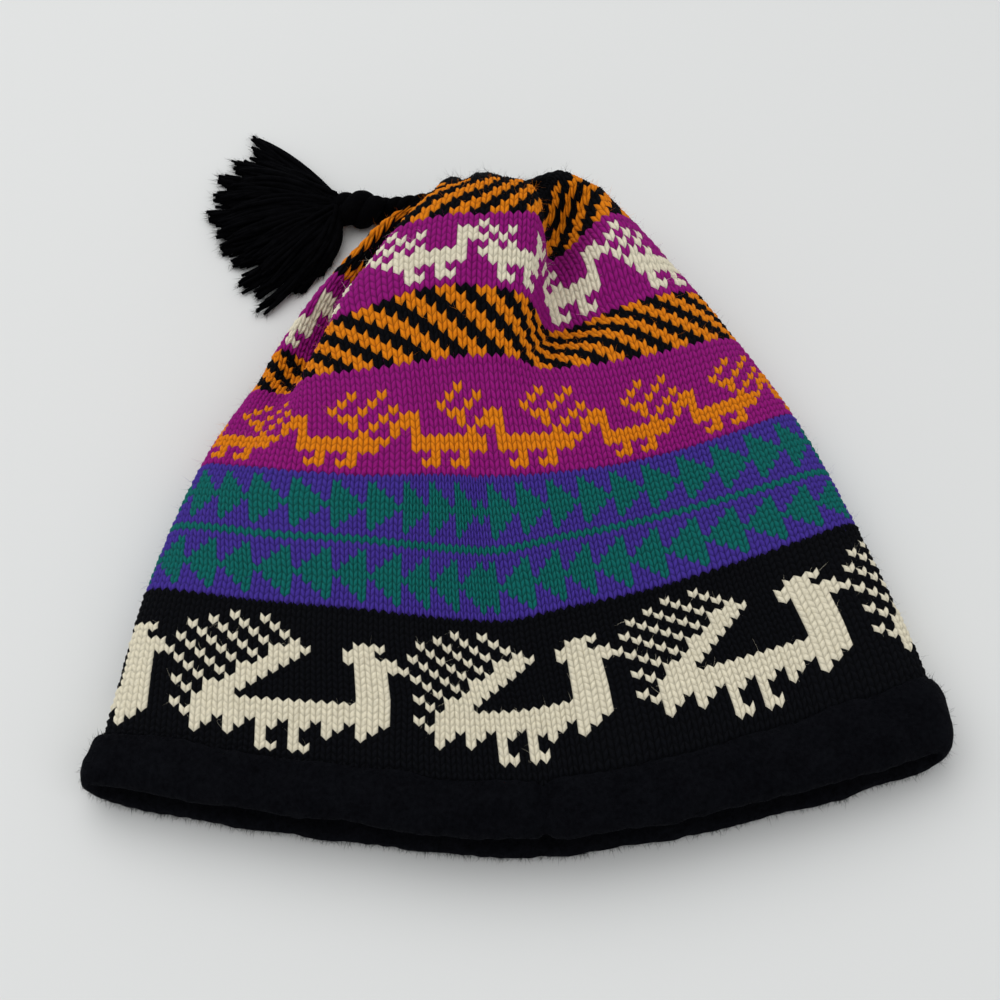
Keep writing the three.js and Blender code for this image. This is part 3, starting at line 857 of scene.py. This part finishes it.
top_ring = face_point(np.full(len(ROUND), float(LAST_ROW)), ROUND, np.full(len(ROUND), 0.2))
rings = []
for share in END_RINGS:
    pulled = top_ring + (top_ring.mean(axis=0) - top_ring) * share
    pulled[:, 1] += END_PUCKER * share * np.cos(ROUND / STITCHES * 2 * math.pi * PLEATS)
    rings.append(pulled)
add_piece("gathered_end", "knit_crown", np.concatenate(rings), grid_faces(len(rings), len(ROUND)),
          [YARNS["black"]], map_places(np.linspace(0, 1, len(rings)), ROUND / STITCHES))

# %% [markdown]
# ## Noise and fibres for meshes
# Fleece and yarn are never quite smooth. A sum of waves in random directions gives a soft lumpy
# number at every point at once. Fibres are narrow strips of a few triangles: at this distance
# they read as fuzz along the outline, which no bump can give.

# %% Lumps and strips
ABOVE_TABLE = 0.00003


def lumpy(points, size, seed):
    """About -1 to 1, changing over a distance of size metres."""
    rng = np.random.default_rng(seed)
    directions = rng.normal(size=(14, 3))
    directions *= 2 * math.pi / size / np.linalg.norm(directions, axis=1, keepdims=True)
    directions *= rng.uniform(0.6, 1.4, (14, 1))
    phases = rng.uniform(0, 2 * math.pi, 14)
    return np.cos(points @ directions.T + phases).sum(axis=-1) / 5.3


def fibres(name, node, roots, ways, span, width, rng, materials, droop=0.5, slots=None, steps=2):
    """Thin curved strips that leave roots in the directions ways. Span and width are in mm."""
    count = len(roots)
    lengths = rng.uniform(*span, count) * MM
    side = unit(np.cross(ways, rng.normal(size=(count, 3))))
    curl = unit(rng.normal(size=(count, 3))) * droop
    lines = []
    for i in range(steps):
        t = i / steps
        line = roots + ways * (lengths * t)[:, None] + curl * (lengths * t * t)[:, None]
        half = side * (width * MM * (1 - 0.5 * t) / 2)
        lines += [line - half, line + half]
    lines.append(roots + ways * lengths[:, None] + curl * lengths[:, None])
    points = np.stack(lines, axis=1)
    points[..., 2] = np.maximum(points[..., 2], ABOVE_TABLE)
    each = 2 * steps + 1
    start = (np.arange(count) * each)[:, None]
    faces = [start + np.array([a, a + 1, a + 3, a + 2]) for a in range(0, each - 3, 2)]
    faces = np.concatenate(faces).tolist() + (start + [each - 3, each - 2, each - 1]).tolist()
    if slots is not None:
        slots = np.concatenate([slots] * steps)
    places = map_places((np.arange(count) + 0.5) / count, np.linspace(0, 1, each))[:, ::-1]
    add_piece(name, node, points.reshape(-1, 3), faces, materials, places, slots)


print("lumps at three points:", np.round(lumpy(np.eye(3) * 0.01, 0.02, 5), 2))

# %% [markdown]
# ## Fibres on the knit
# Wool has a thin halo of loose ends. A blurred outline could fake it in one picture, but strips
# are there from all sides. Each takes the yarn of the stitch that it grows from.

# %% The knit's halo
# band, first and last row, columns to each side of the seam, fibres
HALO_BANDS = (("bird", 1, 23, 40, 3200), ("triangle", 23, 42, 45, 2800),
              ("upper", 42, 88, 32, 6000))

rng = np.random.default_rng(21)
parts = []
for band, low, high, reach, count in HALO_BANDS:
    row, column = rng.uniform(low, high, count), rng.uniform(-reach, reach, count)
    base = knit_point(band, row, column, np.zeros(count))
    normal = unit(knit_point(band, row, column, np.full(count, 1.0)) - base)
    stitch = np.floor(row).astype(int) - FIRST_ROW, np.floor(column).astype(int)
    parts.append((base, normal, chart[stitch[0], stitch[1] % COLUMN_MAPS[band][0]]))
base, normal, yarns = (np.concatenate(part) for part in zip(*parts))
ways = unit(normal * 0.6 + rng.normal(size=base.shape) * 0.7)
# no fibre grows inwards
ways = np.where((ways * normal).sum(axis=1, keepdims=True) < 0, -ways, ways)
fibres("knit_halo", "knit_crown", base + normal * 0.2 * MM, ways, (1.0, 3.4), 0.05, rng,
       YARN_LIST, slots=yarns, steps=3)

# %% [markdown]
# ## The rolled edge
# A strip of fleece is folded over the knit's edge and rolls outwards into a soft tube. Fleece is
# matt and nearly black, with clumps of two sizes in its tone and its bumps.

# %% Fleece
FLEECE_DARK, FLEECE_PALE = rgb(2, 2, 4), rgb(11, 12, 16)

fleece = Finish("black_fleece", Roughness=0.95, Specular_IOR_Level=0.04, Sheen_Weight=0.06,
                Sheen_Roughness=0.6, Sheen_Tint=rgb(62, 66, 84))
space = fleece.add("ShaderNodeTexCoord", output=3)
tufts, clumps = fleece.noise(space, 700.0, 4.0), fleece.noise(space, 120.0, 3.0)
tone = (tufts * 0.6 + clumps * 0.4).above(0.5, 0.2)
fleece.feed("Base Color", fleece.mix(tone, FLEECE_DARK, FLEECE_PALE))
fleece.feed("Normal", fleece.bump(tufts + clumps, 0.8, 0.0007))
print("fleece's nodes:", len(fleece.tree.nodes))

# %% [markdown]
# The roll's cross section is swept round the mouth on the same grid as the knit, so that it
# follows each bow of the edge. It is a smooth closed line through a few knots.

# %% The roll's cross section
# how far along the rows, and how high over the knit's face
BINDING = np.array([
    [0.35, 0.2], [0.5, 1.3], [-0.1, 2.5], [-1.2, 3.2], [-3.5, 3.5], [-5.8, 3.2], [-7.4, 2.3],
    [-8.6, 0.8], [-9.0, -0.9], [-8.7, -2.7], [-7.6, -4.2], [-5.8, -5.0], [-3.5, -5.2],
    [-1.2, -4.9], [0.0, -4.0], [0.2, -3.0],
])
BINDING_STEPS = 64
RIM_COLUMNS = 608
ROW_MM = 2.1


def between(p0, p1, p2, p3, t):
    """A smooth line from p1 to p2 that keeps its direction through both."""
    return 0.5 * (2 * p1 + (p2 - p0) * t + (2 * p0 - 5 * p1 + 4 * p2 - p3) * t**2
                  + (3 * p1 - p0 - 3 * p2 + p3) * t**3)


def closed_curve(knots, count):
    place = np.arange(count) / count * len(knots)
    i = np.floor(place).astype(int)
    neighbours = [knots[(i + k) % len(knots)] for k in (-1, 0, 1, 2)]
    return between(*neighbours, (place - i)[:, None])


def rim_points(profile, columns):
    row, column = np.meshgrid(profile[:, 0], columns, indexing="ij")
    # past the first row the face is carried on in a straight line
    beyond = np.minimum(row - FIRST_ROW, 0)[..., None] * ROW_MM
    start = read_grid(FACE, row * 0 + FIRST_ROW, column)
    onward = read_grid(FACE, row * 0 + FIRST_ROW + 1, column)
    face = read_grid(FACE, row, column) + unit(onward - start) * beyond
    normal = unit(read_grid(OUTWARD, row, column))
    point = face + normal * profile[:, 1][:, None, None]
    point[..., 2] = np.maximum(point[..., 2], 0)
    return (point - CENTRE) * MM


print("the roll is", np.ptp(BINDING, axis=0), "in rows along and mm high")

# %% [markdown]
# Lumps of two sizes keep the roll from looking like rubber, and a notch shows where the strip's
# ends are sewn together, in line with the knit's seam.

# %% The roll
# each size of lump: its height in mm, its width in metres, its seed
ROLL_LUMPS = ((0.6, 0.022, 5), (0.3, 0.005, 6))
# the sewn notch's column, width in columns and depth in mm
NOTCH_AT, NOTCH_WIDTH, NOTCH_DEPTH = 1.5, 0.5, 1.6

profile = closed_curve(BINDING, BINDING_STEPS)
profile = np.concatenate([profile, profile[:1]])
columns = np.linspace(0, STITCHES, RIM_COLUMNS + 1)
rim = rim_points(profile, columns)
rim_outward = unit(rim - rim[:-1].mean(axis=0, keepdims=True))
lift = sum(high * lumpy(rim, size, seed) for high, size, seed in ROLL_LUMPS)
from_notch = np.abs((columns + STITCHES / 2) % STITCHES - STITCHES / 2 - NOTCH_AT)
lift -= NOTCH_DEPTH * np.exp(-(from_notch / NOTCH_WIDTH) ** 2)[None, :]
rim = rim + rim_outward * (lift * MM)[..., None]
rim[..., 2] = np.maximum(rim[..., 2], 0)
rim[:, -1], rim[-1] = rim[:, 0], rim[0]
add_piece("fleece_roll", "fleece_brim", rim.reshape(-1, 3),
          grid_faces(len(profile), len(columns))[:, ::-1], [fleece.material],
          map_places(np.linspace(0, 1, len(profile)), columns / STITCHES))

# %% [markdown]
# Real fleece has a nap that blurs its outline. Blender's hair could make it, but hair isn't a mesh
# and would be lost if the hat were exported, so we grow the same short strips as on the knit.

# %% The nap
NAP_FIBRES = 28000

rng = np.random.default_rng(31)
i = rng.integers(0, rim.shape[0] - 1, NAP_FIBRES)
j = rng.integers(0, rim.shape[1] - 1, NAP_FIBRES)
t = rng.uniform(0, 1, (NAP_FIBRES, 1))
outward = rim_outward[i, j]
roots = rim[i, j] * (1 - t) + rim[i + 1, j + 1] * t - outward * 0.1 * MM
ways = unit(outward + rng.normal(size=outward.shape) * 0.6)
fibres("fleece_nap", "fleece_brim", roots, ways, (0.7, 2.3), 0.1, rng, [fleece.material],
       droop=0.6)

# %% [markdown]
# ## The cord, its knot and the tassel
# The tassel's yarn is thick and soft. The cord is three strands twisted together, the knot is
# two thicker strands wound once more, and the tassel is hundreds of cut ends. Each strand is a
# tube round a line of points. The solid cord has the same route, and the knot sits 3 mm nearer
# the hat than its solid.

# %% Yarn for the tassel
yarn = Finish("tassel_yarn", Roughness=0.92, Specular_IOR_Level=0.02, Sheen_Weight=0.02,
              Sheen_Roughness=0.5, Sheen_Tint=rgb(60, 62, 80))
place = yarn.add("ShaderNodeUVMap", {"uv_map": "OFBake"})
hairs = yarn.noise(yarn.stretch(place, (260.0, 12.0, 1.0)), 1.0, 3.0)
mottle = yarn.noise(yarn.add("ShaderNodeTexCoord", output=3), 500.0, 3.0)
tone = (hairs * 0.6 + mottle * 0.4).above(0.5, 0.22)
yarn.feed("Base Color", yarn.mix(tone, rgb(1, 1, 2), rgb(8, 8, 10)))
yarn.feed("Normal", yarn.bump(hairs + mottle, 0.6, 0.0004))
print("tassel yarn's nodes:", len(yarn.tree.nodes))

# %% Round strands
def tubes(name, node, lines, radii, sides):
    """Round strands. lines is (strands, points, 3) and radii is (strands, points)."""
    strands, steps = lines.shape[:2]
    along = unit(np.gradient(lines, axis=1))
    side = unit(np.cross(along, np.array([0.31, 0.17, 0.94])))
    up = np.cross(side, along)
    angle = np.linspace(0, 2 * math.pi, sides + 1)
    ring = (side[:, :, None] * np.cos(angle)[:, None] + up[:, :, None] * np.sin(angle)[:, None])
    points = lines[:, :, None] + ring * radii[:, :, None, None]
    points[..., 2] = np.maximum(points[..., 2], ABOVE_TABLE)
    starts = np.arange(strands)[:, None, None] * steps * (sides + 1)
    faces = (starts + grid_faces(steps, sides + 1)).reshape(-1, 4)
    strand_place = (np.arange(strands) / strands)[:, None, None]
    u = strand_place + np.linspace(0, 1 / strands, sides + 1)[None, None, :]
    v = np.linspace(0, 1, steps)[None, :, None]
    places = np.stack(np.broadcast_arrays(u, v + 0 * u), axis=-1).reshape(-1, 2)
    add_piece(name, node, points.reshape(-1, 3), faces, [yarn.material], places)


print("faces of a strand with 9 points and 6 sides:", len(grid_faces(9, 7)))

# %% [markdown]
# The cord leaves the gathered end, comes down to the table and meets the knot. Three lines that
# wind round one smooth route make its twist, and two thicker ones that swell make the knot. A
# bump on a plain tube would be quicker, but its outline would stay straight.

# %% Lines that wind round a route
CORD_ROUTE = np.array([
    [-9.8, 113.4, 14.4], [-10.5, 116.0, 12.8], [-16.5, 119.3, 7.6], [-25.0, 119.6, 4.4],
    [-35.0, 118.2, 4.0], [-44.6, 116.8, 4.6],
])
CORD_POINTS, CORD_REACH, CORD_STRAND = 90, 1.75, 2.05
KNOT_CENTRE = np.array([-47.8, 115.4, 6.1])
KNOT_POINTS, KNOT_HALF, KNOT_REACH, KNOT_STRAND = 60, 7.4, 2.9, 3.7


def open_curve(knots, count):
    """A smooth open line through the knots, its points evenly spaced, and its length."""
    padded = np.concatenate([[2 * knots[0] - knots[1]], knots, [2 * knots[-1] - knots[-2]]])
    place = np.linspace(0, len(knots) - 1 - 1e-9, 40 * len(knots))
    i = np.floor(place).astype(int)
    line = between(*(padded[i + k] for k in range(4)), (place - i)[:, None])
    far = np.concatenate([[0], np.cumsum(np.linalg.norm(np.diff(line, axis=0), axis=1))])
    even = np.linspace(0, far[-1], count)
    return np.stack([np.interp(even, far, line[:, axis]) for axis in range(3)], axis=1), far[-1]


def twisted(route, strands, reach, turns, start=0.0):
    """Lines of strands that wind round a route, in metres in the hat's own frame."""
    along = unit(np.gradient(route, axis=0))
    side = unit(np.cross(along, np.array([0.0, 0.0, 1.0])))
    up = np.cross(side, along)
    share = np.linspace(0, 1, len(route))
    lines = []
    for k in range(strands):
        angle = start + 2 * math.pi * (turns * share + k / strands)
        away = side * np.cos(angle)[:, None] + up * np.sin(angle)[:, None]
        lines.append(route + away * np.reshape(reach, (-1, 1)))
    return (np.array(lines) - CENTRE) * MM


cord_route, cord_length = open_curve(CORD_ROUTE, CORD_POINTS)
print("cord length", round(cord_length, 1), "mm")

# %% The cord and its knot
cord_lines = twisted(cord_route, 3, CORD_REACH, 3.2)
tubes("cord_strands", "tassel_cord", cord_lines, np.full((3, CORD_POINTS), CORD_STRAND * MM), 14)

share = np.linspace(-1, 1, KNOT_POINTS)
swell = np.sqrt(np.maximum(1 - 0.8 * share**4, 0.0))
knot_route = KNOT_CENTRE + np.outer(share, [-KNOT_HALF, 0.3, 0.0])
knot_lines = twisted(knot_route, 2, KNOT_REACH * swell, 1.15, 0.6)
tubes("knot_wraps", "tassel_knot", knot_lines, np.tile(KNOT_STRAND * swell * MM, (2, 1)), 18)

# %% [markdown]
# The tassel's strands leave the knot in every direction and bend over to lie in a fan. They hang
# together in locks, so we place the locks first and scatter strands round each lock's line.

# %% The tassel's fan and locks
# direction of the tips seen from the knot in degrees, and their distance
FAN = np.array([[122, 38], [129, 47], [134, 45], [144, 45], [154, 45], [164, 44], [180, 43.5],
                [195, 42], [210, 41], [222, 42], [236, 45], [241, 45], [248, 36], [256, 29],
                [264, 20], [270, 15]])
# the locks that lie on the table: direction, reach compared with the fan, number of strands
LOCKS = np.array([[130, 1.06, 13], [136, 0.94, 26], [147, 1.0, 34], [158, 1.02, 36], [169, 1.0, 38],
                  [180, 1.02, 40], [190, 0.97, 40], [201, 1.0, 40], [212, 0.98, 38],
                  [223, 1.02, 36], [233, 0.96, 34], [240, 1.06, 18], [250, 1.0, 30],
                  [260, 1.0, 26]])
# the locks on top of those, and how high both kinds are half way
TOP_LOCKS, TOP_STRANDS = 13, 20
LOW_LOCK, HIGH_LOCK = 2.5, 8.5
# how far apart the strands of a lock are half way, and at their tips, in degrees
LOCK_BODY, LOCK_TIP = 4.5, 1.7
FAN_MIDDLE = 188
# how much further round a strand swings than its tip, on each side of the fan's middle
SWING_ABOVE, SWING_BELOW = 1.08, 1.28
ROOT_SPREAD = 3.4
STRAND_POINTS, STRAND_RADIUS = 9, 0.86
print("strands:", int(LOCKS[:, 2].sum()) + TOP_LOCKS * TOP_STRANDS)

# %% [markdown]
# Each strand is a curve with one control point. It starts inside the knot, swings out further
# than its tip's direction, and comes down onto the table. Small random steps keep it from lying
# like the teeth of a comb.

# %% Where each strand goes
def heading(degrees):
    radians = np.radians(degrees)
    return np.stack([np.cos(radians), np.sin(radians), 0 * radians], axis=1)


rng = np.random.default_rng(41)
root = KNOT_CENTRE + [-7.6, 0.1, -0.6]
lock_angle = np.concatenate([LOCKS[:, 0], np.linspace(140, 256, TOP_LOCKS)])
lock_reach = np.concatenate([LOCKS[:, 1], rng.normal(0.9, 0.05, TOP_LOCKS)])
strands_each = np.concatenate([LOCKS[:, 2].astype(int), np.full(TOP_LOCKS, TOP_STRANDS)])
lock = np.repeat(np.arange(len(lock_angle)), strands_each)
count = len(lock)
middle = np.cos(np.radians(lock_angle - 190)) ** 2
lock_height = np.where(np.arange(len(lock_angle)) < len(LOCKS), LOW_LOCK, HIGH_LOCK)
lock_height = 1.0 + (lock_height - 1.0) * np.clip(middle + 0.25, 0, 1)
angle = lock_angle[lock] + rng.normal(0, LOCK_TIP, count)
reach = np.interp(angle, *FAN.T) * lock_reach[lock] * rng.uniform(0.88, 1.02, count)
from_middle = angle - FAN_MIDDLE
start_angle = FAN_MIDDLE + from_middle * np.where(from_middle < 0, SWING_ABOVE, SWING_BELOW)
start_angle += rng.normal(0, LOCK_BODY, count)

sideways = -ROOT_SPREAD * np.sin(np.radians(lock_angle - FAN_MIDDLE))[lock]
begin = root + rng.normal(size=(count, 3)) * [0.7, 0.9, 1.5]
begin[:, 1] += sideways
control = root + heading(start_angle) * (0.52 * reach)[:, None]
control[:, 1] += 0.6 * sideways
control[:, :2] += rng.normal(0, 0.9, (count, 2))
control[:, 2] = lock_height[lock] * 1.25 + rng.normal(0, 1.5, count) + 1.5
tip = root + heading(angle) * reach[:, None]
tip[:, 2] = np.abs(0.35 * lock_height[lock] + rng.normal(0, 0.9, count)) + 0.6
print("longest strand reaches", round(float(reach.max()), 1), "mm")

# %% The tassel's strands
begin, control, tip = (p[:, None, :] for p in (begin, control, tip))
t = np.linspace(0, 1, STRAND_POINTS)[None, :, None]
strands = (1 - t) ** 2 * begin + 2 * t * (1 - t) * control + t**2 * tip
wave = np.sin(t * 5 + rng.uniform(0, 6, (count, 1, 1)))
strands = strands + rng.normal(size=(count, 1, 3)) * 0.6 * wave * t
strands[..., 2] = np.maximum(strands[..., 2], 0.5)
taper = 1 - 0.4 * t[0, :, 0] ** 6
radii = STRAND_RADIUS * MM * taper[None, :] * rng.uniform(0.8, 1.15, (count, 1))
strands = (strands - CENTRE) * MM
tubes("tassel_strands", "tassel", strands, radii, 6)

# %% [markdown]
# Cut yarn frays. A tube that just ends looks like a wire, so a dozen short fibres leave each tip,
# and more stand off along the strands, the cord and the knot.

# %% Fuzz on the tassel
BODY_FIBRES, TIP_FIBRES = 9000, 12

rng = np.random.default_rng(51)
tips = np.repeat(strands[:, -1], TIP_FIBRES, axis=0)
onward = np.repeat(unit(strands[:, -1] - strands[:, -3]), TIP_FIBRES, axis=0)
tips = tips - onward * rng.uniform(0, 3.0, (len(tips), 1)) * MM
tips += rng.normal(size=tips.shape) * 0.45 * MM
pick = rng.integers(0, count, BODY_FIBRES)
spot = rng.integers(1, STRAND_POINTS - 1, BODY_FIBRES)
body = strands[pick, spot]
body_ways = unit(strands[pick, spot + 1] - body) * 0.7
body_ways += rng.normal(size=body.shape) * 0.5
roots = np.concatenate([tips, body])
ways = unit(np.concatenate([onward + rng.normal(size=onward.shape) * 0.33, body_ways]))
fibres("tassel_fuzz", "tassel", roots, ways, (0.8, 3.4), 0.1, rng, [yarn.material])

# %% Fuzz on the cord and the knot
# piece, solid, its strands, their radius in mm, fibres, seed
FUZZ = (("cord_fuzz", "tassel_cord", cord_lines, 2.05, 1500, 61),
        ("knot_fuzz", "tassel_knot", knot_lines, 3.3, 1200, 62))

for name, node, lines, radius, count, seed in FUZZ:
    rng = np.random.default_rng(seed)
    strand, spot = rng.integers(0, lines.shape[0], count), rng.integers(0, lines.shape[1], count)
    ways = unit(rng.normal(size=(count, 3)))
    roots = lines[strand, spot] + ways * radius * MM * 0.95
    ways = unit(ways + rng.normal(size=(count, 3)) * 0.6)
    fibres(name, node, roots, ways, (0.6, 2.2), 0.08, rng, [yarn.material])

# %% [markdown]
# ## Stage and light
# The photo has one broad soft light from the upper left and pale surroundings. An area light, a
# weaker one in front and a grey world do that. The floor is a plain plane, which isn't attached to
# the hat's body.

# %% Floor, light and world
FLOOR_HALF = 12.0
# name, place in metres, width in metres, power in watts
LIGHTS = (("key_light", (-0.6, 0.45, 1.35), 2.2, 13.8), ("fill_light", (0.8, -1.0, 1.2), 1.6, 5.0))

paint = Finish("table_paint", Roughness=0.6, Specular_IOR_Level=0.2)
paint.feed("Base Color", rgb(221, 222, 221))
corners = [(x * FLOOR_HALF, y * FLOOR_HALF, 0) for x, y in ((-1, -1), (1, -1), (1, 1), (-1, 1))]
floor = new_object("table_top", corners, [(0, 1, 2, 3)], [paint.material])
floor.location.z = -0.0002

for name, spot, width, power in LIGHTS:
    lamp = bpy.data.lights.new(name, "AREA")
    lamp.shape = "DISK"
    lamp.size = width
    lamp.energy = power
    light = bpy.data.objects.new(name, lamp)
    bpy.context.collection.objects.link(light)
    light.location = spot
    light.rotation_euler = (-light.location).to_track_quat("-Z", "Y").to_euler()

world = bpy.data.worlds.new("pale_room")
world.use_nodes = True
background = world.node_tree.nodes["Background"]
background.inputs["Color"].default_value = (0.9, 0.91, 0.92, 1)
background.inputs["Strength"].default_value = 0.64
bpy.context.scene.world = world
print("lights:", [name for name, *_ in LIGHTS])

# %% [markdown]
